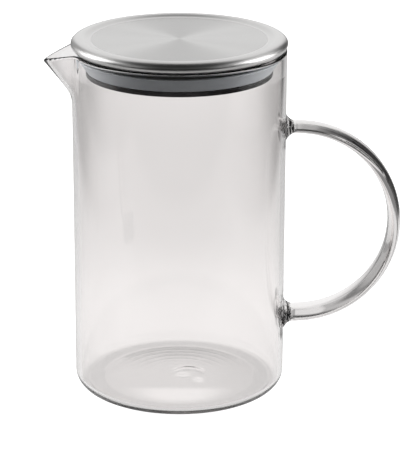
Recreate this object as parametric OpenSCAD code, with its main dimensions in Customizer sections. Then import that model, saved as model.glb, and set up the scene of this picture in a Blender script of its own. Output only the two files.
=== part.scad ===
// Straight glass pitcher with a pouring beak, a fused glass handle and a lift-off steel lid.
// The origin is the centre of the foot. +Z is up, +X points to the handle, -X to the beak.

/* [Glass body] */
// Outside diameter of the glass cylinder
body_d = 105; // [95:0.5:115]
// Height of the glass rim above the table
rim_h = 173.3; // [150:0.1:200]
// Thickness of the glass wall
wall = 2.4; // [2:0.1:3]
// Thickness of the glass floor at the foot ring
base_t = 3.2; // [2.6:0.1:4.5]
// Outside corner radius round the foot
foot_corner = 7; // [5:0.5:9]
// Inside corner radius round the floor
floor_corner = 3.5; // [3:0.5:7]
// Width of the flat ring that the jug stands on
foot_ring_w = 7.5; // [4:0.5:15]
// Depth of the shallow hollow under the foot
punt_depth = 1; // [0.4:0.1:1.5]
// Width of the bevel on the outer edge of the rim
rim_bevel = 0.6; // [0.4:0.1:1]

/* [Spout] */
// How far the tip of the beak stands out from the wall
spout_reach = 14.3; // [10:0.1:17]
// How far the tip of the beak lies below the rim
spout_drop = 5.6; // [3:0.1:7]
// Depth below the rim at which the ridge of the beak leaves the wall
spout_depth = 23.3; // [18:0.1:30]
// Length over which the ridge of the beak blends into the wall
spout_blend = 2.2; // [1.5:0.1:3.5]
// Glass thickness at the tip, measured along the beak
spout_wall = 3.2; // [2.4:0.1:4]
// Half of the angle of rim that the beak takes up, in degrees
spout_angle = 20; // [16:1:28]
// Half of the angle over which the tip is rounded, in degrees
spout_tip_angle = 1.6; // [0.8:0.1:3]
// How strongly the beak is pinched, from 1 for straight lips upward
spout_pinch = 1.7; // [1.2:0.1:2.4]

/* [Handle] */
// Radius of the handle's half circle at the middle of the bar
handle_r = 48.7; // [38:0.1:55]
// Height of the middle of the handle above the table
handle_mid_h = 85.2; // [75:0.1:95]
// Straight length of bar between the wall and the half circle
handle_stub = 5.7; // [5.5:0.1:12]
// Thickness of the bar at its upper end
handle_top_t = 5.4; // [4.5:0.1:8]
// Thickness of the bar at its lower end
handle_low_t = 7.2; // [5:0.1:9]
// Width of the bar at its upper end
handle_top_w = 13.5; // [9:0.1:18]
// Width of the bar at its lower end
handle_low_w = 16.4; // [11:0.1:20]
// How far the bar spreads on each side where it is fused to the wall
handle_flare = 3.2; // [2:0.1:5]
// Length of bar over which it spreads
handle_flare_run = 4; // [3:0.1:5.5]
// How square the section of the bar is: 2 is an ellipse
handle_squareness = 2.3; // [2:0.1:4]

/* [Lid cap] */
// How far the steel cap stands out past the glass
cap_overhang = 0.35; // [0:0.05:1.5]
// Radius of the rolled edge of the cap below its widest line
cap_edge = 2.44; // [2:0.02:3]
// How far the crown of the cap stands above that line
cap_crown = 2.9; // [2.4:0.05:3.6]
// How far the crown lies inside the outside of the cap
cap_roll = 5.2; // [4:0.1:7]
// Width of the border between the flat brushed face and the outside of the cap
cap_border = 9.85; // [8:0.05:16]
// How far the brushed face lies below the crown
cap_dish = 1.15; // [0.4:0.05:1.5]
// Thickness of the steel sheet
cap_t = 0.8; // [0.5:0.1:1]
// Gap between the cap and the glass rim
lid_gap = 0.36; // [0.3:0.02:0.6]

/* [Lid plug] */
// How far the plug reaches below the rim
plug_depth = 12.1; // [11:0.1:16]
// Gap between the lip under the seal and the mouth
plug_lip_gap = 4.5; // [3:0.1:6]
// Depth of the groove that carries the seal, above that lip
plug_groove = 1.6; // [1.2:0.1:3]
// Height of the lip under the seal
plug_lip_h = 2.3; // [1.6:0.1:2.8]
// Gap between the plug's flange and the mouth
plug_gap = 1.5; // [1:0.1:2.5]
// Thickness of the plug's wall
plug_wall = 2; // [1.5:0.1:3]
// Thickness of the plug's floor
plug_floor = 2; // [1.5:0.1:3]
// Width of the standing ring round the plug's underside
plug_ring_w = 5; // [3:0.1:8]
// Depth of the hollow inside that ring
plug_hollow = 0.7; // [0.3:0.1:1]

/* [Lid seal] */
// Height of the seal
seal_h = 6.9; // [6:0.1:7.4]
// How far the lower edge of the seal lies inside the edge of the plug's lip
seal_inset = 0.2; // [0:0.05:0.5]
// Thickness of the flared lip at its upper edge
seal_lip_t = 1.4; // [1:0.1:2]
// Thickness of the sleeve that sits in the groove
seal_sleeve_t = 1.2; // [0.8:0.1:1.6]
// Height of the web that joins the lip to the sleeve
seal_web_h = 2.8; // [2:0.1:4]
// Gap between the flared lip and the mouth
seal_gap = 0.3; // [0.2:0.05:0.6]
// Clearance of the sleeve round the groove
seal_fit = 0.1; // [0.05:0.01:0.2]
// Clearance above and below the seal in its groove
seal_play = 0.2; // [0.1:0.05:0.3]

/* [Hidden] */
$fn = 96;

// How far a cut runs past the face that it opens
overrun = 0.5;
// How far the edges of the beak sink into the wall that they grow from
beak_sink = 0.3;
// Points across the beak, levels up it, points round the bar and steps along it
beak_points = 24;
beak_levels = 12;
bar_points = 24;
stub_steps = 5;
arc_steps = 36;
punt_steps = 8;
// Steps of each curve in the section of the cap
cap_steps = 12;

body_r = body_d / 2;
mouth_r = body_r - wall;
foot_r = body_r - foot_corner;
floor_r = mouth_r - floor_corner;
punt_r = foot_r - foot_ring_w;

// The ridge of the beak runs from the wall up to the tip
ridge_h = rim_h - spout_depth;
tip_h = rim_h - spout_drop;
ridge_rise = tip_h - ridge_h;
lip_slope_share = spout_drop / (spout_reach + rim_bevel);

// The bar starts inside the wall, deep enough for its spread corners
root_half_w = handle_low_w / 2 + handle_flare;
bar_start_x = sqrt(body_r * body_r - root_half_w * root_half_w) - overrun;
arc_x = body_r + handle_stub;

cap_r = body_r + cap_overhang;
cap_edge_r = cap_r - cap_edge;
cap_low_h = rim_h + lid_gap;
cap_mid_h = cap_low_h + cap_edge;
cap_crown_r = cap_r - cap_roll;
cap_crown_h = cap_mid_h + cap_crown;
cap_face_h = cap_crown_h - cap_dish;
cap_face_r = cap_r - cap_border;
cap_under_h = cap_face_h - cap_t;

plug_lip_r = mouth_r - plug_lip_gap;
neck_r = plug_lip_r - plug_groove;
plug_low_h = rim_h - plug_depth;
plug_lip_top_h = plug_low_h + plug_lip_h;
flange_r = mouth_r - plug_gap;
flange_low_h = plug_lip_top_h + seal_h + 2 * seal_play;

seal_low_h = plug_lip_top_h + seal_play;
seal_top_h = seal_low_h + seal_h;
seal_in_r = neck_r + seal_fit;
seal_sleeve_r = seal_in_r + seal_sleeve_t;
seal_low_r = plug_lip_r - seal_inset;
seal_top_r = mouth_r - seal_gap;

// A ramp that is level, then rises steadily to 1 at 1, with a soft bend at 0
function soft_ramp(v, bend) = (v + sqrt(v * v + bend * bend)) / (1 + sqrt(1 + bend * bend));

// Share of the beak's reach at a height, and at an angle from its middle
function ridge_share(h) = soft_ramp((h - ridge_h) / ridge_rise, spout_blend / ridge_rise);
function soft_angle(a) = sqrt(a * a + spout_tip_angle * spout_tip_angle) - spout_tip_angle;
function pinch_share(a) = pow(max(0, 1 - soft_angle(a) / spout_angle), spout_pinch);

function between(from, to, share) = from + (to - from) * share;

// Side faces of a stack of closed rings, two triangles to each cell, with a cap at each end
function stack_faces(rings, points) = concat(
    [[for (k = [points - 1 : -1 : 0]) k]],
    [for (j = [0 : rings - 2], k = [0 : points - 1]) let (n = (k + 1) % points)
        [j * points + k, j * points + n, (j + 1) * points + n]],
    [for (j = [0 : rings - 2], k = [0 : points - 1]) let (n = (k + 1) % points)
        [j * points + k, (j + 1) * points + n, (j + 1) * points + k]],
    [[for (k = [0 : points - 1]) (rings - 1) * points + k]]
);

// The beak grown on a wall of radius wall_r, each level a curve closed by its chord
module beak(wall_r, reach, top_h) {
    low_h = ridge_h - 2 * spout_blend;
    levels = [for (j = [0 : beak_levels]) between(low_h, top_h, j / beak_levels)];
    angles = [for (k = [0 : beak_points]) spout_angle * (1 - 2 * k / beak_points)];
    points = [for (h = levels, a = angles)
        let (r = wall_r - beak_sink + (reach + beak_sink) * ridge_share(h) * pinch_share(a))
        [-r * cos(a), -r * sin(a), h]];
    polyhedron(points, stack_faces(beak_levels + 1, beak_points + 1));
}

// Half section of the outside of the glass, left tall enough for the rim to be trimmed from it
module body_outline() {
    translate([0, foot_corner])
        square([body_r, rim_h + overrun - foot_corner]);
    square([foot_r, foot_corner]);
    translate([foot_r, foot_corner])
        circle(foot_corner);
}

// Half section of the inside of the glass
module hollow_outline() {
    translate([0, base_t + floor_corner])
        square([mouth_r, rim_h - base_t]);
    translate([0, base_t])
        square([floor_r, rim_h - base_t]);
    translate([floor_r, base_t + floor_corner])
        circle(floor_corner);
}

// Half section of the shallow hollow under the foot, a parabola
module punt_outline() {
    curve = [for (i = [0 : punt_steps]) let (share = i / punt_steps)
        [punt_r * share, punt_depth * (1 - share * share)]];
    polygon(concat(curve, [[punt_r, -overrun], [0, -overrun]]));
}

// Half section above the rim, whose bevel falls away at the slope of the beak's lips
module lip_cut_outline() {
    far = 2 * spout_reach;
    bevel_r = body_r - rim_bevel;
    polygon([
        [0, rim_h],
        [bevel_r, rim_h],
        [bevel_r + far, rim_h - far * lip_slope_share],
        [bevel_r + far, rim_h + far],
        [0, rim_h + far],
    ]);
}

module glass_body() {
    color([0.86, 0.9, 0.9, 0.4])
    difference() {
        union() {
            rotate_extrude() body_outline();
            beak(body_r, spout_reach, rim_h + 2 * overrun);
        }
        rotate_extrude() hollow_outline();
        beak(mouth_r, spout_reach + wall - spout_wall, rim_h + 3 * overrun);
        rotate_extrude() lip_cut_outline();
        rotate_extrude() punt_outline();
    }
}

// Stations along the bar: place in the plane of the handle and the angle of its outer side
function bar_stations() = concat(
    [for (i = [0 : stub_steps - 1])
        [between(bar_start_x, arc_x, i / stub_steps), handle_mid_h + handle_r, 90]],
    [for (i = [0 : arc_steps]) let (t = 90 - 180 * i / arc_steps)
        [arc_x + handle_r * cos(t), handle_mid_h + handle_r * sin(t), t]],
    [for (i = [stub_steps - 1 : -1 : 0])
        [between(bar_start_x, arc_x, i / stub_steps), handle_mid_h - handle_r, -90]]
);

function rounded(v) = sign(v) * pow(abs(v), 2 / handle_squareness);

// One section of the bar, a squared oval that spreads near the wall
function bar_ring(x, z, t) =
    let (share = (90 - t) / 180)
    let (from_wall = max(0, x - body_r))
    let (flare = handle_flare * pow(max(0, 1 - from_wall / handle_flare_run), 2))
    let (half_t = between(handle_top_t, handle_low_t, share) / 2 + flare)
    let (half_w = between(handle_top_w, handle_low_w, share) / 2 + flare)
    [for (k = [0 : bar_points - 1]) let (a = 360 * k / bar_points, out = half_t * rounded(cos(a)))
        [x + out * cos(t), half_w * rounded(sin(a)), z + out * sin(t)]];

module glass_handle() {
    stations = bar_stations();
    points = [for (s = stations) each bar_ring(s[0], s[1], s[2])];
    color([0.82, 0.87, 0.88, 0.5])
    difference() {
        polyhedron(points, stack_faces(len(stations), bar_points));
        cylinder(h = rim_h, r = body_r);
    }
}

// Points on an oval about a centre, at even angles, without the last
function oval(r, h, size_r, size_h, from, to) =
    [for (i = [0 : cap_steps - 1]) let (a = between(from, to, i / cap_steps))
        [r + size_r * cos(a), h + size_h * sin(a)]];

// The border climbs in an S from the face, or from the sheet's thickness under it, to the crown
function border(under) =
    [for (i = [0 : cap_steps]) let (share = i / cap_steps, climb = (1 - cos(180 * share)) / 2)
        [between(cap_face_r, cap_crown_r, share), cap_face_h - under + cap_dish * climb]];

function backward(list) = [for (i = [len(list) - 1 : -1 : 0]) list[i]];
function but_last(list) = [for (i = [0 : len(list) - 2]) list[i]];

// Half section of the steel sheet: a dished face, a border, a rolled edge and an open underside
module cap_outline() {
    in_edge = cap_edge - cap_t;
    polygon(concat(
        [[0, cap_under_h], [0, cap_face_h]],
        but_last(border(0)),
        oval(cap_crown_r, cap_mid_h, cap_roll, cap_crown, 90, 0),
        oval(cap_edge_r, cap_mid_h, cap_edge, cap_edge, 0, -90),
        [[cap_edge_r, cap_low_h]],
        oval(cap_edge_r, cap_mid_h, in_edge, in_edge, -90, 0),
        oval(cap_crown_r, cap_mid_h, cap_roll - cap_t, cap_crown - cap_t, 0, 90),
        backward(border(cap_t))
    ));
}

module lid_cap() {
    color("silver")
    rotate_extrude() cap_outline();
}

// The plug is a cup, closed by the cap, with a flange above the seal's groove and a lip below it
module lid_plug() {
    cup_floor_h = plug_low_h + plug_hollow + plug_floor;
    color([0.04, 0.04, 0.045])
    difference() {
        union() {
            translate([0, 0, plug_low_h])
                cylinder(h = plug_lip_h, r = plug_lip_r);
            translate([0, 0, plug_low_h])
                cylinder(h = cap_under_h - plug_low_h, r = neck_r);
            translate([0, 0, flange_low_h])
                cylinder(h = cap_under_h - flange_low_h, r = flange_r);
        }
        translate([0, 0, cup_floor_h])
            cylinder(h = cap_under_h - cup_floor_h + overrun, r = neck_r - plug_wall);
        translate([0, 0, plug_low_h - overrun])
            cylinder(h = plug_hollow + overrun, r = plug_lip_r - plug_ring_w);
    }
}

// Half section of the silicone ring: a sleeve in the groove and a lip that flares to the mouth
module seal_outline() {
    polygon([
        [seal_in_r, seal_low_h],
        [seal_low_r, seal_low_h],
        [seal_top_r, seal_top_h],
        [seal_top_r - seal_lip_t, seal_top_h],
        [seal_sleeve_r, seal_low_h + seal_web_h],
        [seal_sleeve_r, seal_top_h],
        [seal_in_r, seal_top_h],
    ]);
}

module lid_seal() {
    color([0.45, 0.48, 0.5])
    rotate_extrude() seal_outline();
}

glass_body();
glass_handle();
lid_cap();
lid_plug();
lid_seal();
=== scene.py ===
"""Looks of a straight glass pitcher with a pouring beak, a fused handle and a lift-off steel lid.

Lengths are metres in the part's own frame: the origin is the centre of the foot, +Z is up,
+X points to the handle and -X to the beak.
"""
import math

import bpy
import numpy as np
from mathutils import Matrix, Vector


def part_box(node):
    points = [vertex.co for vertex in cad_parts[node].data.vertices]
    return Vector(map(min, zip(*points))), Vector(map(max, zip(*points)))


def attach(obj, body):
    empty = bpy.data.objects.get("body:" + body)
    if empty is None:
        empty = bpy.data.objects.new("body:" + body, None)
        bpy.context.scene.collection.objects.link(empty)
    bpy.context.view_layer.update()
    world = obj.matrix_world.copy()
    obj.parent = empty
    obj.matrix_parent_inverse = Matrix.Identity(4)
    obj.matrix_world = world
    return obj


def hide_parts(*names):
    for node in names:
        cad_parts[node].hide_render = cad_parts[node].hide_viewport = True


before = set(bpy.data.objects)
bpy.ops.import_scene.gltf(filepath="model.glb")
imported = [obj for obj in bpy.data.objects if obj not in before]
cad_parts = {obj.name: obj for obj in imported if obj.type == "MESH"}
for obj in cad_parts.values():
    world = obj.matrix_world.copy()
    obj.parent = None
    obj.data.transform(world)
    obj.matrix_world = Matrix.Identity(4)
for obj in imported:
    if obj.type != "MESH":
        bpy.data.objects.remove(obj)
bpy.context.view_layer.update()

MM = 0.001

# Sizes
glass_low, glass_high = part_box("glass_body")
bar_low, bar_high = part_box("glass_handle")
cap_low, cap_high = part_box("lid_cap")
plug_low, plug_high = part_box("lid_plug")
seal_low, seal_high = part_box("lid_seal")

BODY_R = glass_high.x
RIM_H = glass_high.z
WALL = 2.4 * MM
MOUTH_R = BODY_R - WALL
BASE_T = 3.2 * MM
FOOT_CORNER = 7 * MM
FLOOR_CORNER = 3.5 * MM
FOOT_R = BODY_R - FOOT_CORNER
FLOOR_R = MOUTH_R - FLOOR_CORNER
FOOT_RING_W = 7.5 * MM
PUNT_R = FOOT_R - FOOT_RING_W
PUNT_DEPTH = 1 * MM
RING_RADII = (33 * MM, 29 * MM, 24.5 * MM, 20.5 * MM)
RING_W = 0.6 * MM
RING_DEPTH = 0.015 * MM
GATHER_X = 4.6 * MM
GATHER_R = 8.2 * MM
GATHER_W = 1.6 * MM
GATHER_H = 0.2 * MM
FLOOR_LINE_R = FLOOR_R - 0.7 * MM
FLOOR_LINE_W = 0.6 * MM
FLOOR_LINE_H = 0.12 * MM
RIM_BEVEL = 0.6 * MM
RIM_ROUND = 0.9 * MM

SPOUT_REACH = -glass_low.x - BODY_R
SPOUT_WALL = 3.2 * MM
SPOUT_DROP = 5.6 * MM
TIP_H = RIM_H - SPOUT_DROP
SPOUT_RIDGE = 23.3 * MM
RIDGE_H = RIM_H - SPOUT_RIDGE
SPOUT_BLEND = 2.2 * MM
SPOUT_ANGLE = 20.0
TIP_ANGLE = 1.6
SPOUT_PINCH = 1.7
LIP_FALL = SPOUT_DROP / (SPOUT_REACH + RIM_BEVEL)

BAR_TOP_T = 5.4 * MM
BAR_LOW_T = 7.2 * MM
BAR_TOP_W = 13.5 * MM
BAR_LOW_W = 16.4 * MM
BAR_FLARE = 3.2 * MM
BAR_FLARE_RUN = 4 * MM
BAR_SQUARENESS = 2.3
BAR_STUB = 5.7 * MM
BAR_SINK = 0.3 * MM
BAR_START_X = bar_low.x - BAR_SINK
ARC_X = BODY_R + BAR_STUB
ARC_R = bar_high.x - ARC_X - (BAR_TOP_T + BAR_LOW_T) / 4
BAR_MID_H = (bar_high.z + bar_low.z) / 2

CAP_R = cap_high.x
CAP_EDGE = 2.44 * MM
CAP_EDGE_R = CAP_R - CAP_EDGE
CAP_MID_H = cap_low.z + CAP_EDGE
CAP_ROLL = 5.2 * MM
CAP_CROWN = cap_high.z - CAP_MID_H
CAP_CROWN_R = CAP_R - CAP_ROLL
CAP_T = 0.8 * MM
CAP_DISH = 1.15 * MM
CAP_BORDER = 9.85 * MM
CAP_FACE_R = CAP_R - CAP_BORDER
CAP_FACE_H = cap_high.z - CAP_DISH

PLUG_LIP_IN = 3 * MM
PLUG_GROOVE = 1.6 * MM
PLUG_WALL = 2 * MM
PLUG_FLOOR = 2 * MM
PLUG_HOLLOW = 0.7 * MM
PLUG_RING_W = 5 * MM
PLUG_SINK = 0.05 * MM
PLUG_HUB_R = 0.5 * MM
PLUG_SOFT = 0.45 * MM

SEAL_W = 5.7 * MM
SEAL_FLARE = 4.4 * MM
SEAL_WAIST_OUT = 1.9 * MM
SEAL_WAIST_H = 3.2 * MM
SEAL_LIP_T = 1.4 * MM
SEAL_SLEEVE_T = 1.2 * MM
SEAL_WEB_H = 2.8 * MM
SEAL_PLAY = 0.2 * MM
SEAL_SOFT = 0.4 * MM

HUB_R = 0.4 * MM
CAP_COLUMNS = 256
RING_COLUMNS = 192


# Meshes
def stepped(*stops):
    """One line of values: (start), then (end, steps) for each run of even steps."""
    runs = [np.array([stops[0]])]
    for end, steps in stops[1:]:
        start = runs[-1][-1]
        runs.append(start + (end - start) * np.arange(1, steps + 1) / steps)
    return np.concatenate(runs)


def smooth_step(low, high, value):
    """0 below low, 1 above high, and 3t^2 - 2t^3 of the share t between them."""
    share = np.clip((value - low) / (high - low), 0, 1)
    return share * share * (3 - 2 * share)


def skin(name, points, ends=None, bands=None):
    """A closed mesh over a grid of points, rows by columns. Columns close on themselves. The first and
    last row are each closed by a fan to a point of ends, or rows close on themselves where there is none.
    bands gives the material of each row of faces. The faces are turned so that the volume is positive."""
    rows, columns = points.shape[:2]
    number = np.arange(rows * columns).reshape(rows, columns)
    if ends is None:
        number = np.vstack([number, number[:1]])
    right = np.roll(number, -1, axis=1)
    quads = np.stack([number[:-1], right[:-1], right[1:], number[1:]], axis=-1).reshape(-1, 4)
    corners = points.reshape(-1, 3)
    fans = np.empty((0, 3), int)
    if ends is not None:
        first, last = len(corners), len(corners) + 1
        corners = np.vstack([corners, ends])
        fans = np.vstack([
            np.stack([np.full(columns, first), right[0], number[0]], axis=-1),
            np.stack([np.full(columns, last), number[-1], right[-1]], axis=-1),
        ])
    halves = np.vstack([quads[:, [0, 1, 2]], quads[:, [0, 2, 3]], fans])
    a, b, c = (corners[halves[:, k]] for k in range(3))
    if np.einsum("ij,ij->i", a, np.cross(b, c)).sum() < 0:
        quads, fans = quads[:, ::-1], fans[:, ::-1]
    mesh = bpy.data.meshes.new(name)
    mesh.from_pydata(corners.tolist(), [], quads.tolist() + fans.tolist())
    mesh.polygons.foreach_set("use_smooth", np.ones(len(mesh.polygons), bool))
    if bands is not None:
        of_rows = np.repeat(np.asarray(bands), columns)
        of_fans = np.full(len(fans), bands[0])
        of_fans[columns:] = bands[-1]
        mesh.polygons.foreach_set("material_index", np.concatenate([of_rows, of_fans]))
    mesh.update()
    made = bpy.data.objects.new(name, mesh)
    bpy.context.scene.collection.objects.link(made)
    return made


def turned(name, profile, columns, closed=False, bands=None):
    """The profile, pairs of radius and height, turned about the Z axis: (r cos t, r sin t, z)."""
    t = np.linspace(0, 2 * np.pi, columns, endpoint=False)
    radius, height = profile[:, :1], profile[:, 1:]
    points = np.stack(np.broadcast_arrays(radius * np.cos(t), radius * np.sin(t), height), axis=-1)
    ends = None if closed else [(0, 0, profile[0, 1]), (0, 0, profile[-1, 1])]
    return skin(name, points, ends, bands)


def arc(centre_r, centre_h, size_r, size_h, start, end, steps):
    """Points on an oval of those half sizes, at even angles in degrees from start to end."""
    t = np.radians(np.linspace(start, end, steps + 1))
    return np.stack([centre_r + size_r * np.cos(t), centre_h + size_h * np.sin(t)], axis=-1)


def softened(corners, size, steps=5, closed=False):
    """A line through the corners with each corner rounded by a quadratic curve: it leaves and meets the two
    sides at the distance size from the corner, or at 0.45 of the shorter side where that is less."""
    corners = np.asarray(corners, float)
    before, after = np.roll(corners, 1, axis=0), np.roll(corners, -1, axis=0)
    back, on = before - corners, after - corners
    back_len, on_len = np.linalg.norm(back, axis=1), np.linalg.norm(on, axis=1)
    reach = np.minimum(size, 0.45 * np.minimum(back_len, on_len))
    leave = corners + back * (reach / back_len)[:, None]
    meet = corners + on * (reach / on_len)[:, None]
    t = np.linspace(0, 1, steps + 1)[None, :, None]
    curve = (1 - t) ** 2 * leave[:, None] + 2 * t * (1 - t) * corners[:, None] + t ** 2 * meet[:, None]
    if closed:
        return curve.reshape(-1, 2)
    return np.vstack([corners[:1], curve[1:-1].reshape(-1, 2), corners[-1:]])


# Glass jug
def soft_ramp(value, bend):
    """Level, then rising steadily to 1 at 1, with a soft bend at 0."""
    return (value + np.sqrt(value ** 2 + bend ** 2)) / (1 + math.sqrt(1 + bend ** 2))


def beak(height, angle, reach):
    """How far the beak stands out of the wall: its reach, times a ramp up its ridge, times a pinch to the sides."""
    rise = TIP_H - RIDGE_H
    ridge = soft_ramp((height - RIDGE_H) / rise, SPOUT_BLEND / rise)
    aside = np.sqrt(angle ** 2 + TIP_ANGLE ** 2) - TIP_ANGLE
    return reach * ridge * np.maximum(0, 1 - aside / SPOUT_ANGLE) ** SPOUT_PINCH


def rim_height(radius, reach, angle):
    """The height at which a wall of this radius, with its beak, meets the cone that falls along the lips.
    Found by halving the range in which it lies."""
    low, high = np.full_like(angle, RIDGE_H), np.full_like(angle, RIM_H)
    for _ in range(40):
        middle = (low + high) / 2
        out = radius + beak(middle, angle, reach)
        under = middle < RIM_H - np.maximum(0, out - (BODY_R - RIM_BEVEL)) * LIP_FALL
        low, high = np.where(under, middle, low), np.where(under, high, middle)
    return low


def underside(radius, angle):
    """Height of the hollow under the foot: a parabola, with four fine rings of the mould that fade out to the front."""
    hollow = PUNT_DEPTH * np.maximum(0, 1 - (radius / PUNT_R) ** 2)
    rings = sum(np.exp(-((radius - place) / RING_W) ** 2) for place in RING_RADII)
    return hollow + RING_DEPTH * rings * smooth_step(0.1, 0.9, -np.sin(np.radians(angle)))


def gather(radius, angle):
    """Height of the swirl left on the floor where the glass was gathered: a ridge along half a turn about a point
    beside the axis, and two soft drops in front of it."""
    t = np.radians(angle)
    across, along = -radius * np.cos(t) - GATHER_X, -radius * np.sin(t)
    turn = np.arctan2(along, across)
    ridge = np.exp(-((np.hypot(across, along) - GATHER_R) / GATHER_W) ** 2) * smooth_step(-0.2, 0.5, turn)
    ridge = ridge * smooth_step(np.pi, 2.6, turn)
    bar = np.exp(-((across / GATHER_R + 0.33) / 0.4) ** 2 - ((along / GATHER_R + 0.2) / 0.26) ** 2)
    drop = np.exp(-((across / GATHER_R - 0.6) / 0.34) ** 2 - ((along / GATHER_R + 1.08) / 0.36) ** 2)
    return GATHER_H * (ridge + bar + drop)


def jug_body():
    """The glass shell, a closed profile at each angle: hollow underside, round foot, wall with the beak's bulge,
    melted rim, inner wall, round floor corner and floor, which has a fine bell-shaped ridge round its edge. The angle
    is measured from the beak. Rows lie close together at the rings of the mould, the beak, the ridge and the swirl."""
    half = stepped(0, (4, 12), (22, 34), (180, 92))
    angle = np.concatenate([half, -half[1:-1][::-1]])
    inner_reach = SPOUT_REACH + WALL - SPOUT_WALL

    r_under = stepped(
        1 * MM, (18.5 * MM, 12), (26.5 * MM, 32), (27.2 * MM, 2), (35 * MM, 31), (PUNT_R, 4), (FOOT_R, 5),
    )
    under_r = np.repeat(r_under[:, None], len(angle), axis=1)
    under_h = np.maximum(0, underside(under_r, angle[None, :]))

    foot = arc(FOOT_R, FOOT_CORNER, FOOT_CORNER, FOOT_CORNER, -90, 0, 14)[1:]
    foot_r = np.repeat(foot[:, :1], len(angle), axis=1)
    foot_h = np.repeat(foot[:, 1:], len(angle), axis=1)

    def wall(radius, reach, low):
        """Heights and radii of a wall from a level low up to just under the rim, close together near the beak."""
        top = rim_height(radius, reach, angle) - RIM_ROUND
        share = stepped(0, (0.8, 16), (1, 40))[1:, None]
        height = low + (top - low) * share
        return radius + beak(height, angle[None, :], reach), height

    out_r, out_h = wall(BODY_R, SPOUT_REACH, FOOT_CORNER)
    in_r, in_h = wall(MOUTH_R, inner_reach, BASE_T + FLOOR_CORNER)

    t = np.radians(np.linspace(0, 180, 13)[1:-1])[:, None]
    half_r, half_h = (out_r[-1] - in_r[-1]) / 2, (out_h[-1] - in_h[-1]) / 2
    lip_r = in_r[-1] + half_r + half_r * np.cos(t)
    lip_h = in_h[-1] + half_h + half_h * np.cos(t) + RIM_ROUND * np.sin(t)

    corner = arc(FLOOR_R, BASE_T + FLOOR_CORNER, FLOOR_CORNER, FLOOR_CORNER, 0, -90, 14)
    corner_r = np.repeat(corner[:, :1], len(angle), axis=1)
    corner_h = np.repeat(corner[:, 1:], len(angle), axis=1)

    r_floor = stepped(FLOOR_R, (FLOOR_R - 2 * MM, 16), (17 * MM, 9), (HUB_R, 40))[1:]
    floor_r = np.repeat(r_floor[:, None], len(angle), axis=1)
    floor_line = FLOOR_LINE_H * np.exp(-((floor_r - FLOOR_LINE_R) / FLOOR_LINE_W) ** 2)
    floor_h = BASE_T + floor_line + gather(floor_r, angle[None, :])

    radius = np.vstack([under_r, foot_r, out_r, lip_r, in_r[::-1], corner_r, floor_r])
    height = np.vstack([under_h, foot_h, out_h, lip_h, in_h[::-1], corner_h, floor_h])
    t = np.radians(angle)
    points = np.stack([-radius * np.cos(t), -radius * np.sin(t), height], axis=-1)
    ends = [(0, 0, float(under_h[0].mean())), (0, 0, float(floor_h[-1].mean()))]
    return skin("jug_glass", points, ends)


def jug_handle():
    """A squared oval carried along a half circle with two straight stubs. It grows from the upper end to the lower,
    and spreads by a square law near the wall that it is fused to."""
    stub = stepped(BAR_START_X, (BODY_R, 3), (BODY_R + BAR_FLARE_RUN, 12), (ARC_X, 2))[:-1]
    t = np.radians(np.linspace(90, -90, 73))
    path_x = np.concatenate([stub, ARC_X + ARC_R * np.cos(t), stub[::-1]])
    path_h = BAR_MID_H + np.concatenate([np.full_like(stub, ARC_R), ARC_R * np.sin(t), np.full_like(stub, -ARC_R)])
    tilt = np.concatenate([np.full_like(stub, t[0]), t, np.full_like(stub, t[-1])])
    share = 0.5 - tilt / np.pi
    near = np.clip(1 - np.maximum(0, path_x - BODY_R) / BAR_FLARE_RUN, 0, 1)
    half_t = (BAR_TOP_T + (BAR_LOW_T - BAR_TOP_T) * share) / 2 + BAR_FLARE * near ** 2
    half_w = (BAR_TOP_W + (BAR_LOW_W - BAR_TOP_W) * share) / 2 + BAR_FLARE * near ** 2
    around = np.linspace(0, 2 * np.pi, 56, endpoint=False)

    def squared(value):
        return np.sign(value) * np.abs(value) ** (2 / BAR_SQUARENESS)

    out = half_t[:, None] * squared(np.cos(around))
    points = np.stack([
        path_x[:, None] + out * np.cos(tilt)[:, None],
        half_w[:, None] * squared(np.sin(around)),
        path_h[:, None] + out * np.sin(tilt)[:, None],
    ], axis=-1)
    ends = [(path_x[0], 0, path_h[0]), (path_x[-1], 0, path_h[-1])]
    return skin("handle_bar", points, ends)


def fused(body, bar):
    """One shell of glass from the jug and the bar that is melted onto it."""
    melt = body.modifiers.new("melt", "BOOLEAN")
    melt.operation, melt.solver, melt.object = "UNION", "EXACT", bar
    ready = body.evaluated_get(bpy.context.evaluated_depsgraph_get())
    mesh = bpy.data.meshes.new_from_object(ready)
    body.modifiers.clear()
    body.data = mesh
    bpy.data.objects.remove(bar)
    mesh.polygons.foreach_set("use_smooth", np.ones(len(mesh.polygons), bool))
    mesh.update()
    return body


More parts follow.
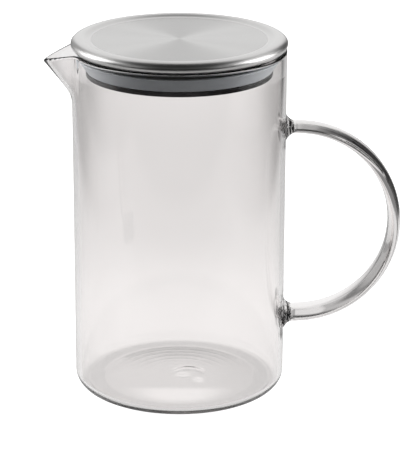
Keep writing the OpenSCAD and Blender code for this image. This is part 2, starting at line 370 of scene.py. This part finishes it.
# Lid
def lid_cap():
    """Steel sheet turned about the axis: a flat brushed face, a border that climbs to the crown in an S, half a cosine
    wave, a rolled edge of a quarter oval and a quarter circle, and the same line one sheet thickness behind it."""
    face_r = stepped(HUB_R, (CAP_FACE_R, 30))
    face = np.stack([face_r, np.full_like(face_r, CAP_FACE_H)], axis=-1)
    border_r = stepped(CAP_FACE_R, (CAP_CROWN_R, 24))[1:]
    share = (border_r - CAP_FACE_R) / (CAP_CROWN_R - CAP_FACE_R)
    border = np.stack([border_r, CAP_FACE_H + CAP_DISH * (1 - np.cos(np.pi * share)) / 2], axis=-1)
    sheet = np.vstack([face, border])
    roll = arc(CAP_CROWN_R, CAP_MID_H, CAP_ROLL, CAP_CROWN, 90, 0, 32)[1:]
    edge = arc(CAP_EDGE_R, CAP_MID_H, CAP_EDGE, CAP_EDGE, 0, -90, 20)[1:]
    in_edge = arc(CAP_EDGE_R, CAP_MID_H, CAP_EDGE - CAP_T, CAP_EDGE - CAP_T, -90, 0, 10)
    in_roll = arc(CAP_CROWN_R, CAP_MID_H, CAP_ROLL - CAP_T, CAP_CROWN - CAP_T, 0, 90, 12)[1:-1]
    behind = sheet[::-1] - (0, CAP_T)
    profile = np.vstack([sheet, roll, edge, in_edge, in_roll, behind])
    bands = np.ones(len(profile) - 1, int)
    bands[:len(face) - 1] = 0
    made = turned("steel_cap", profile, CAP_COLUMNS, bands=bands)
    made.data.set_sharp_from_angle(angle=math.radians(40))
    return made


def lid_plug():
    """Moulded cup turned about the axis: the flange under the cap, the groove for the seal and the lip below it,
    all with softened corners."""
    flange_r = plug_high.x
    lip_r = flange_r - PLUG_LIP_IN
    neck_r, ring_r = lip_r - PLUG_GROOVE, lip_r - PLUG_RING_W
    well_r = neck_r - PLUG_WALL
    low, top = plug_low.z, plug_high.z - PLUG_SINK
    hollow_h = low + PLUG_HOLLOW
    well_h = hollow_h + PLUG_FLOOR
    lip_top, flange_low = seal_low.z - SEAL_PLAY, seal_high.z + SEAL_PLAY
    corners = [
        (PLUG_HUB_R, well_h),
        (well_r, well_h),
        (well_r, top),
        (flange_r, top),
        (flange_r, flange_low),
        (neck_r, flange_low),
        (neck_r, lip_top),
        (lip_r, lip_top),
        (lip_r, low),
        (ring_r, low),
        (ring_r, hollow_h),
        (PLUG_HUB_R, hollow_h),
    ]
    return turned("black_plug", softened(corners, PLUG_SOFT), RING_COLUMNS)


def lid_seal():
    """Silicone ring turned about the axis: a sleeve in the plug's groove, and a lip that flares up to the mouth and
    is a little hollow on the outside."""
    in_r, top_r = seal_high.x - SEAL_W, seal_high.x
    low_r = top_r - SEAL_FLARE
    low, top = seal_low.z, seal_high.z
    sleeve_r = in_r + SEAL_SLEEVE_T
    corners = [
        (in_r, low),
        (low_r, low),
        (low_r + SEAL_WAIST_OUT, low + SEAL_WAIST_H),
        (top_r, top),
        (top_r - SEAL_LIP_T, top),
        (sleeve_r, low + SEAL_WEB_H),
        (sleeve_r, top),
        (in_r, top),
    ]
    return turned("grey_seal", softened(corners, SEAL_SOFT, closed=True), RING_COLUMNS, closed=True)


# Finishes
class Wire:
    """A socket in a node tree. Arithmetic on it adds Math nodes, and node() adds any other node."""

    def __init__(self, tree, socket=None):
        self.tree = tree
        self.socket = socket

    def node(self, kind, settings=None, inputs=None, out=0):
        """Adds a node: its settings first, a ramp's stops among them, then the values or links of its sockets."""
        made = self.tree.nodes.new("ShaderNode" + kind)
        for name, value in (settings or {}).items():
            if name == "stops":
                elements = made.color_ramp.elements
                elements[0].position, elements[0].color = value[0]
                elements[1].position, elements[1].color = value[-1]
                for place, colour in value[1:-1]:
                    elements.new(place).color = colour
            else:
                setattr(made, name, value)
        for name, value in (inputs or {}).items():
            if isinstance(value, Wire):
                self.tree.links.new(value.socket, made.inputs[name])
            else:
                made.inputs[name].default_value = value
        return Wire(self.tree, made.outputs[out]) if made.outputs else None

    def maths(self, operation, *values):
        return self.node("Math", {"operation": operation}, dict(enumerate(values)))

    def __add__(self, other):
        return self.maths("ADD", self, other)

    def __radd__(self, other):
        return self.maths("ADD", other, self)

    def __sub__(self, other):
        return self.maths("SUBTRACT", self, other)

    def __rsub__(self, other):
        return self.maths("SUBTRACT", other, self)

    def __mul__(self, other):
        return self.maths("MULTIPLY", self, other)

    def __rmul__(self, other):
        return self.maths("MULTIPLY", other, self)

    def largest(self, *others):
        top = self
        for other in others:
            top = self.maths("MAXIMUM", top, other)
        return top

    def size(self):
        return self.maths("ABSOLUTE", self)

    def part(self, axis):
        """One of the three numbers of a place: X, Y or Z."""
        return self.node("SeparateXYZ", {}, {0: self}, out=axis)

    def distance(self, point):
        """How far a place is from a point."""
        return self.node("VectorMath", {"operation": "DISTANCE"}, {0: self, 1: point}, out="Value")

    def stepped(self, low, high):
        """0 at low, 1 at high, with a smooth step between them."""
        return self.node("MapRange", {"interpolation_type": "SMOOTHSTEP"},
                         {"Value": self, "From Min": low, "From Max": high})

    def mixed(self, low, high):
        """The colour low where this is 0, and the colour high where it is 1."""
        return self.node("Mix", {"data_type": "RGBA"}, {0: self, 6: low, 7: high}, out=2)


def grey(value, warm=0.0):
    return (value * (1 + warm), value, value * (1 - warm), 1.0)


def blank(kind, name):
    """A material or world with an empty node tree, and a wire to start from."""
    made = kind.new(name)
    made.use_nodes = True
    made.node_tree.nodes.clear()
    return made, Wire(made.node_tree)


def clear_glass():
    """Drawn borosilicate: clear and smooth, a little grey in its depth, with faint long waves up the wall and ripples
    where the handle is melted on."""
    made, wire = blank(bpy.data.materials, "clear_glass")
    place = wire.node("TexCoord", out="Object")
    drawn = wire.node("Mapping", {}, {"Vector": place, "Scale": (70.0, 70.0, 9.0)})
    wave = wire.node("TexNoise", {}, {"Vector": drawn, "Scale": 1.0, "Detail": 1.0, "Roughness": 0.4})
    film = wire.node("TexNoise", {}, {"Vector": place, "Scale": 45.0, "Detail": 3.0})
    ripple = wire.node("TexNoise", {}, {"Vector": place, "Scale": 420.0, "Detail": 1.0})
    out = place.part("X")
    weld = out.stepped(BODY_R, BODY_R + 0.5 * MM) * out.stepped(BODY_R + 6 * MM, BODY_R + 3.5 * MM)
    bump = wire.node("Bump", {}, {"Height": wave + 9 * weld * ripple, "Strength": 0.12, "Distance": 0.4 * MM})
    near_rim = place.part("Z").stepped(RIM_H - 12 * MM, RIM_H - 8 * MM)
    shader = wire.node("BsdfPrincipled", {}, {
        "Base Color": film.mixed((0.99, 0.972, 0.966, 1.0), (1.0, 0.984, 0.98, 1.0)),
        "Roughness": (0.012 + 0.012 * film) * near_rim + 0.1 * weld,
        "IOR": 1.47,
        "Transmission Weight": 1.0,
        "Normal": bump,
    })
    lit = wire.node("LightPath", out="Is Shadow Ray").largest(wire.node("LightPath", out="Is Diffuse Ray"))
    pane = wire.node("BsdfTransparent", {}, {"Color": grey(0.92)})
    shader = wire.node("MixShader", {}, {0: lit, 1: shader, 2: pane})
    depth = wire.node("VolumeAbsorption", {}, {"Color": (0.53, 0.5, 0.49, 1.0), "Density": 13.0})
    wire.node("OutputMaterial", {}, {"Surface": shader, "Volume": depth})
    return made


def rings_about_axis(wire, scales):
    """Noise that depends on the distance from the Z axis alone, so that it draws fine circles: one value per scale."""
    place = wire.node("TexCoord", out="Object")
    flat = wire.node("VectorMath", {"operation": "MULTIPLY"}, {0: place, 1: (1.0, 1.0, 0.0)})
    radius = wire.node("VectorMath", {"operation": "LENGTH"}, {0: flat}, out="Value")
    return place, [
        wire.node("TexNoise", {"noise_dimensions": "1D"}, {"W": radius, "Scale": scale, "Detail": 3.0})
        for scale in scales
    ]


def brushed_face():
    """Steel brushed in circles: fine rings in its tone, its gloss and its relief, and a highlight that spreads across
    the rings."""
    made, wire = blank(bpy.data.materials, "brushed_face")
    place, (fine, broad) = rings_about_axis(wire, (5200.0, 620.0))
    blot = wire.node("TexNoise", {}, {"Vector": place, "Scale": 60.0, "Detail": 2.0})
    tone = fine * 0.6 + broad * 0.3 + blot * 0.1
    bump = wire.node("Bump", {}, {"Height": fine, "Strength": 0.06, "Distance": 0.05 * MM})
    shader = wire.node("BsdfPrincipled", {}, {
        "Base Color": tone.mixed(grey(0.475, 0.01), grey(0.565, 0.01)),
        "Metallic": 1.0,
        "Roughness": 0.2 + 0.1 * tone,
        "Anisotropic": 0.8,
        "Anisotropic Rotation": 0.25,
        "Normal": bump,
    })
    wire.node("OutputMaterial", {}, {"Surface": shader})
    return made


def polished_edge():
    """Polished steel of the border and the rolled edge, with a trace of polishing lines and handling marks."""
    made, wire = blank(bpy.data.materials, "polished_edge")
    place, (fine,) = rings_about_axis(wire, (3000.0,))
    marks = wire.node("TexNoise", {}, {"Vector": place, "Scale": 90.0, "Detail": 4.0})
    shader = wire.node("BsdfPrincipled", {}, {
        "Base Color": fine.mixed(grey(0.6, 0.01), grey(0.66, 0.01)),
        "Metallic": 1.0,
        "Roughness": 0.26 + 0.06 * marks,
        "Anisotropic": 0.4,
        "Anisotropic Rotation": 0.25,
    })
    wire.node("OutputMaterial", {}, {"Surface": shader})
    return made


def black_plastic():
    """Moulded black plastic, satin, with a fine grain."""
    made, wire = blank(bpy.data.materials, "black_plastic")
    place = wire.node("TexCoord", out="Object")
    grain = wire.node("TexNoise", {}, {"Vector": place, "Scale": 2600.0, "Detail": 2.0})
    cloud = wire.node("TexNoise", {}, {"Vector": place, "Scale": 120.0, "Detail": 2.0})
    bump = wire.node("Bump", {}, {"Height": grain, "Strength": 0.15, "Distance": 0.05 * MM})
    shader = wire.node("BsdfPrincipled", {}, {
        "Base Color": cloud.mixed(grey(0.003), grey(0.007)),
        "Roughness": 0.28 + 0.1 * cloud,
        "IOR": 1.55,
        "Specular IOR Level": 0.2,
        "Normal": bump,
    })
    wire.node("OutputMaterial", {}, {"Surface": shader})
    return made


def grey_silicone():
    """Grey silicone rubber, satin and very slightly blue, with a soft cloudiness."""
    made, wire = blank(bpy.data.materials, "grey_silicone")
    place = wire.node("TexCoord", out="Object")
    cloud = wire.node("TexNoise", {}, {"Vector": place, "Scale": 160.0, "Detail": 3.0})
    grain = wire.node("TexNoise", {}, {"Vector": place, "Scale": 1800.0, "Detail": 2.0})
    bump = wire.node("Bump", {}, {"Height": grain, "Strength": 0.08, "Distance": 0.05 * MM})
    shader = wire.node("BsdfPrincipled", {}, {
        "Base Color": cloud.mixed((0.43, 0.46, 0.49, 1.0), (0.49, 0.52, 0.55, 1.0)),
        "Roughness": 0.36 + 0.08 * cloud,
        "IOR": 1.5,
        "Specular IOR Level": 0.25,
        "Normal": bump,
    })
    wire.node("OutputMaterial", {}, {"Surface": shader})
    return made


# The part
jug = fused(jug_body(), jug_handle())
cap, plug, seal = lid_cap(), lid_plug(), lid_seal()
jug.data.materials.append(clear_glass())
cap.data.materials.append(brushed_face())
cap.data.materials.append(polished_edge())
plug.data.materials.append(black_plastic())
seal.data.materials.append(grey_silicone())

for piece, body, slot, nodes in (
    (jug, "jug", "clear_glass", ("glass_body", "glass_handle")),
    (cap, "lid", "brushed_steel", ("lid_cap",)),
    (plug, "lid", "black_plastic", ("lid_plug",)),
    (seal, "seal", "grey_silicone", ("lid_seal",)),
):
    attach(piece, body)
    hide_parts(*nodes)


# Stage
TABLE_HALF_W = 0.31
TABLE_FRONT = -0.27
FLOOR_SIZE = 8.0
GATHER_SHIFT = 2.6 * MM
PANEL_SIDE = 0.85
PANEL_HEIGHTS = (0.22, 0.92)
PANEL_LEVEL = 15.0


def sight(wire):
    """Five masks: the rays that the eye sees directly, those that it sees by way of clear glass, those of them that
    were mirrored on their way, those that went through one bar or wall of glass only, and those that a perfectly smooth
    surface sends."""
    def path(name):
        return wire.node("LightPath", out=name)
    straight = path("Diffuse Depth")
    straight = straight.maths("LESS_THAN", straight, 0.5)
    mirrors = path("Glossy Depth")
    through = path("Is Transmission Ray") * straight
    bent = through * mirrors.maths("GREATER_THAN", mirrors, 0.5)
    faces = path("Transmission Depth")
    barred = through * faces.maths("LESS_THAN", faces, 2.5)
    return path("Is Camera Ray"), through, bent, barred, path("Is Singular Ray")


def painted_caustic_light(wire, place):
    """Painted light on the table where the base of the jug would gather light: an arc and two drops under the swirl of
    its floor, and a soft crescent in front, painted into the table's glow as seen through the glass."""
    along, aside = place.part("Y"), place.part("X").size()

    def drop(x, y, half_x, half_y):
        """1 inside an oval patch of the table, fading to 0 round it."""
        from_middle = wire.node("VectorMath", {"operation": "SUBTRACT"}, {0: place, 1: (x, y, 0)})
        share = wire.node("VectorMath", {"operation": "MULTIPLY"}, {0: from_middle, 1: (1 / half_x, 1 / half_y, 0)})
        return share.distance((0, 0, 0)).stepped(1.4, 0.4)

    off_line = (place.distance((GATHER_X, GATHER_SHIFT, 0)) - GATHER_R).size()
    swirl = off_line.stepped(2 * MM, 0.6 * MM) * along.stepped(GATHER_SHIFT + 2.5 * MM, GATHER_SHIFT + 5.5 * MM)
    swirl = swirl.largest(
        drop(1.9 * MM, GATHER_SHIFT - 1.6 * MM, 4 * MM, 2.8 * MM),
        drop(9.5 * MM, GATHER_SHIFT - 8.9 * MM, 3 * MM, 3.6 * MM),
    )
    crescent = along.stepped(-14 * MM, -21 * MM) * aside.stepped(32 * MM, 8 * MM)
    crescent = crescent * place.distance((0, 0, 0)).stepped(39 * MM, 30 * MM)
    # painted light: these patches brighten the table only as seen through the glass
    return (0.8 * swirl).largest(0.9 * crescent)


def pale_floor():
    """A pale table that keeps the shadow. The eye sees it white. Through clear glass it glows nearly white, with
    painted
    light and shade: a painted shadow under the jug, painted spots and a crescent of light where the base of a jug would
    gather it, and painted darkening in a band away from the foot, to the right, to the sides, beside the bar and off
    the table. In a mirror it ends at the edges of the lit table, and the floor beyond them is dark."""
    made, wire = blank(bpy.data.materials, "pale_floor")
    place = wire.node("TexCoord", out="Object")
    across, along, away = place.part("X"), place.part("Y"), place.distance((0, 0, 0))
    aside = across.size()
    sheet = wire.node("TexNoise", {}, {"Vector": place, "Scale": 30.0, "Detail": 2.0})
    seen, through, bent, barred, sharp = sight(wire)

    # In a mirror
    strip = aside.stepped(TABLE_HALF_W + 0.05, TABLE_HALF_W - 0.03)
    lit = (1 - sharp * (1 - strip)) * along.stepped(TABLE_FRONT - 0.04, TABLE_FRONT + 0.04)
    far_front = along.stepped(TABLE_FRONT - 0.1, TABLE_FRONT - 0.2) * aside.stepped(0.3, 0.1)
    far_front = far_front * along.stepped(TABLE_FRONT - 0.42, TABLE_FRONT - 0.3)
    dim = wire.node("BsdfDiffuse", {}, {"Color": sheet.mixed(grey(0.4), grey(0.42))})
    dark = wire.node("BsdfDiffuse", {}, {"Color": far_front.mixed(grey(0.01, 0.1), grey(0.16))})
    mirrored = wire.node("MixShader", {}, {0: lit, 1: dark, 2: dim})

    # To the eye
    pale = wire.node("BsdfDiffuse", {}, {"Color": sheet.mixed(grey(0.7), grey(0.72))})
    white = away.stepped(0.15, 0.7).mixed(grey(0.42), grey(0.78))
    white = wire.node("Emission", {}, {"Color": away.stepped(0.8, 2.5).mixed(white, grey(1))})
    direct = wire.node("AddShader", {}, {0: pale, 1: white})

    # Through clear glass: a glow with painted light and shade
    far_left = across.stepped(-0.25, -0.4)
    dip = away.stepped(0.1, 0.24) - 0.5 * away.stepped(0.4, 0.6)
    reach = strip.largest(away.stepped(0.9, 0.5)) * across.stepped(0.42, 0.28)
    reach = 1 - bent * (1 - reach.largest(0.4 * far_left))
    beside = (across - 0.15 * along).stepped(0.045, 0.075) * along.stepped(0.06, 0.18) * along.stepped(0.75, 0.55)
    beside = beside * barred * (1 - 0.8 * bent)
    sides = aside.stepped(0.05, 0.13) * along.stepped(0.12, 0.4) * (1 - barred * (1 - 0.7 * bent))
    # painted shadow of the jug on the table round its foot, seen through the glass, lifted where the painted light
    # falls
    painted_shadow = place.distance((0, -3 * MM, 0)).stepped(0.053, 0.046) * (1 - painted_caustic_light(wire, place))
    off_table = along.stepped(-0.14, -0.22).largest(1 - strip - far_left)
    # painted shade: dip, reach, beside, sides and off_table darken the glow seen through the glass
    bright = (0.97 - 0.14 * dip - 0.24 * painted_shadow) * (0.25 + 0.75 * reach) * (1 - 0.7 * beside) * (1 - 0.32 * sides)
    bright = bright * (1 - 0.65 * bent * off_table)
    glass_view = wire.node("Emission", {}, {"Color": bright.mixed(grey(0), grey(1))})

    shader = wire.node("MixShader", {}, {0: through, 1: mirrored, 2: glass_view})
    shader = wire.node("MixShader", {}, {0: seen, 1: shader, 2: direct})
    wire.node("OutputMaterial", {}, {"Surface": shader})
    return made


def studio_room():
    """White to the eye. For light and mirror images there is a bright backdrop behind the table, as wide as the table,
    and a paler band of wall round the back and the sides above it. The ceiling is dark, and the front nearly so."""
    made, wire = blank(bpy.data.worlds, "studio_room")
    way = wire.node("TexCoord", out="Generated")
    across, along, up = way.part("X"), way.part("Y"), way.part("Z")
    aside = across.size()
    seen, through, bent, *_ = sight(wire)

    behind, low = along.stepped(0.0, 0.2), up.stepped(0.9, 0.7)
    backdrop = aside.stepped(0.38, 0.22) * behind * low
    wall = up.stepped(0.4, 0.6) * low * along.stepped(-0.35, 0.0)
    left = across.stepped(-0.1, -0.4) * behind * low
    front = along.stepped(-0.2, -0.45) * low * up.stepped(-0.05, 0.1)
    front = front * (0.1 * up.stepped(0.42, 0.6) + 0.26 * aside.stepped(0.45, 0.7))
    level = (backdrop + 0.02).largest(0.65 * wall, 0.3 * left, front)

    # Through clear glass
    right = across.stepped(0.0, 0.14)
    right_back = across.stepped(0.28, 0.42) * behind
    right_side = across.stepped(0.3, 0.5) * along.stepped(0.5, 0.36) * along.stepped(-0.5, -0.3)
    right_side = right_side * up.stepped(0.05, 0.2) * low
    haze = (1 - bent * (1 - behind)) * up.stepped(0.6, 0.25) * (0.5 - 0.36 * right - 0.1 * right_back)
    glass_view = (level * (0.85 - 0.4 * right - 0.2 * right_back)).largest(haze, right_side)

    level = level + through * (glass_view - level)
    shader = wire.node("Background", {}, {"Color": level.largest(seen).mixed(grey(0), grey(1))})
    wire.node("OutputWorld", {}, {"Surface": shader})
    return made


def softbox(name, side, front, back):
    """An upright glowing panel beside the part, facing it. It lights the part, and shows less brightly in the steel and
    on the rim. The eye doesn't see it, nor by way of clear glass."""
    low, high = PANEL_HEIGHTS
    corners = [(side, front, low), (side, back, low), (side, back, high), (side, front, high)]
    mesh = bpy.data.meshes.new(name)
    mesh.from_pydata(corners, [], [(0, 1, 2, 3)])
    glow, wire = blank(bpy.data.materials, name)
    _, through, _, _, sharp = sight(wire)
    hidden = (0.85 * wire.node("LightPath", out="Is Glossy Ray")).largest(through, sharp)
    light = wire.node("Emission", {}, {"Color": hidden.mixed(grey(1), grey(0)), "Strength": PANEL_LEVEL})
    wire.node("OutputMaterial", {}, {"Surface": light})
    mesh.materials.append(glow)
    made = bpy.data.objects.new(name, mesh)
    bpy.context.scene.collection.objects.link(made)
    made.visible_camera = False


def floor_sheet():
    """A square grid of faces at the level of the foot, facing up."""
    line = np.linspace(-FLOOR_SIZE, FLOOR_SIZE, 9)
    across, along = np.meshgrid(line, line)
    corners = np.stack([across, along, np.zeros_like(across)], axis=-1).reshape(-1, 3)
    number = np.arange(across.size).reshape(across.shape)
    faces = np.stack([number[:-1, :-1], number[:-1, 1:], number[1:, 1:], number[1:, :-1]], axis=-1).reshape(-1, 4)
    mesh = bpy.data.meshes.new("floor")
    mesh.from_pydata(corners.tolist(), [], faces.tolist())
    made = bpy.data.objects.new("floor", mesh)
    bpy.context.scene.collection.objects.link(made)
    return made


floor = floor_sheet()
floor.data.materials.append(pale_floor())

scene = bpy.context.scene
scene.world = studio_room()
softbox("softbox_left", -PANEL_SIDE, 0.02, 0.5)
softbox("softbox_right", PANEL_SIDE, -0.14, 0.34)

# The camera stands in front, with the beak on its left, and looks down past the lid. The frame, the focal length and
# the place of the jug's axis in the frame are in pixels.
FRAME_W, FRAME_H = 420, 471
FOCAL = 2284.55
AXIS_X = 179.35
CAMERA_PLACE = (0, -1.0788, 0.4509)
CAMERA_DOWN = 19.13
camera = bpy.data.objects.new("camera", bpy.data.cameras.new("camera"))
scene.collection.objects.link(camera)
camera.location = CAMERA_PLACE
camera.rotation_euler = (math.radians(90 - CAMERA_DOWN), 0, 0)
camera.data.sensor_width = 36
camera.data.lens = FOCAL * camera.data.sensor_width / FRAME_H
camera.data.shift_x = (FRAME_W / 2 - AXIS_X) / FRAME_H
camera.data.clip_start, camera.data.clip_end = 0.05, 50
scene.camera = camera

scene.view_settings.view_transform = "Standard"
scene.cycles.use_denoising = True
scene.cycles.max_bounces = 32
scene.cycles.transmission_bounces = 32
scene.cycles.glossy_bounces = 12
scene.cycles.diffuse_bounces = 4
